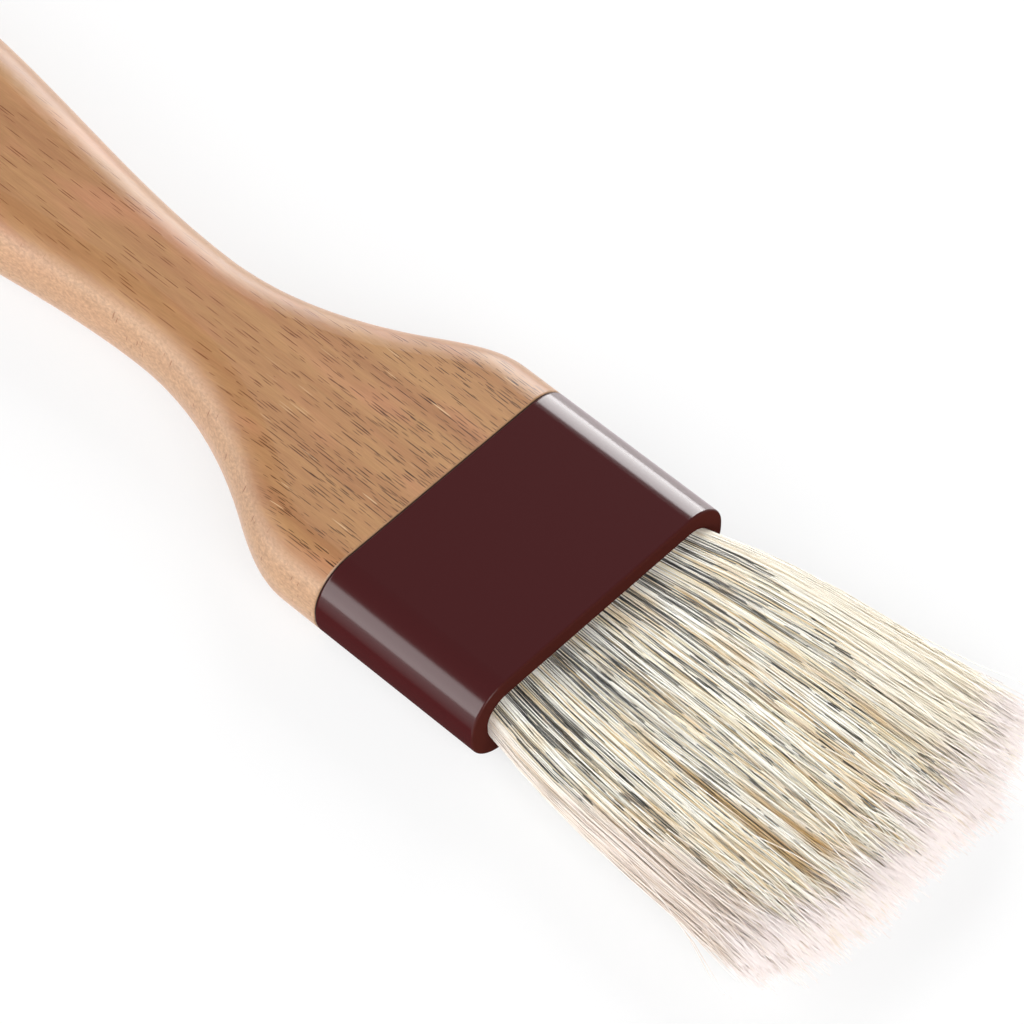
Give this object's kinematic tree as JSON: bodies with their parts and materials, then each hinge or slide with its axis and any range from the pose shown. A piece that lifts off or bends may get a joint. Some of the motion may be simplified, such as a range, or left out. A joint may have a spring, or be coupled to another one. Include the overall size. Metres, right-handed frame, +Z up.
{
  "type": "pastry brush",
  "caption": "Flat pastry brush with a shaped beech handle, a maroon moulded ferrule and a fanned natural bristle knot that flexes at the ferrule's mouth.",
  "frame": {"origin": "centre of the underside of the whole brush, lying flat", "axes": "+Y along the brush towards the bristle tips, +Z up out of the flat face, +X across the width"},
  "size_m": [0.0448, 0.2108, 0.0116],
  "materials": {
    "beech": "sanded beech with a light oil, satin",
    "maroon_plastic": "glossy moulded plastic, dark maroon",
    "bristle": "natural white boar bristle",
    "set_resin": "cured epoxy resin",
    "plain_wood": "unfinished wood strip"
  },
  "bodies": {
    "handle_and_ferrule": {"handle": "beech", "ferrule": "maroon_plastic", "tenon_glue": "set_resin", "resin_set": "set_resin", "spacer_strip": "plain_wood", "bristle_butts_upper": "bristle", "bristle_butts_lower": "bristle"},
    "bristle_knot": {"bristle_lock_upper_1": "bristle", "bristle_lock_upper_2": "bristle", "bristle_lock_upper_3": "bristle", "bristle_lock_upper_4": "bristle", "bristle_lock_upper_5": "bristle", "bristle_lock_upper_6": "bristle", "bristle_lock_upper_7": "bristle", "bristle_lock_upper_8": "bristle", "bristle_lock_lower_1": "bristle", "bristle_lock_lower_2": "bristle", "bristle_lock_lower_3": "bristle", "bristle_lock_lower_4": "bristle", "bristle_lock_lower_5": "bristle", "bristle_lock_lower_6": "bristle", "bristle_lock_lower_7": "bristle", "bristle_lock_lower_8": "bristle"}
  },
  "joints": [
    {"name": "bristle_flex", "type": "hinge", "parent": "handle_and_ferrule", "child": "bristle_knot", "pos_m": [0, 0.0601, 0.0058], "axis": [1, 0, 0], "range_deg": [-35, 35], "stiffness_Nm_per_rad": 0.3}
  ]
}
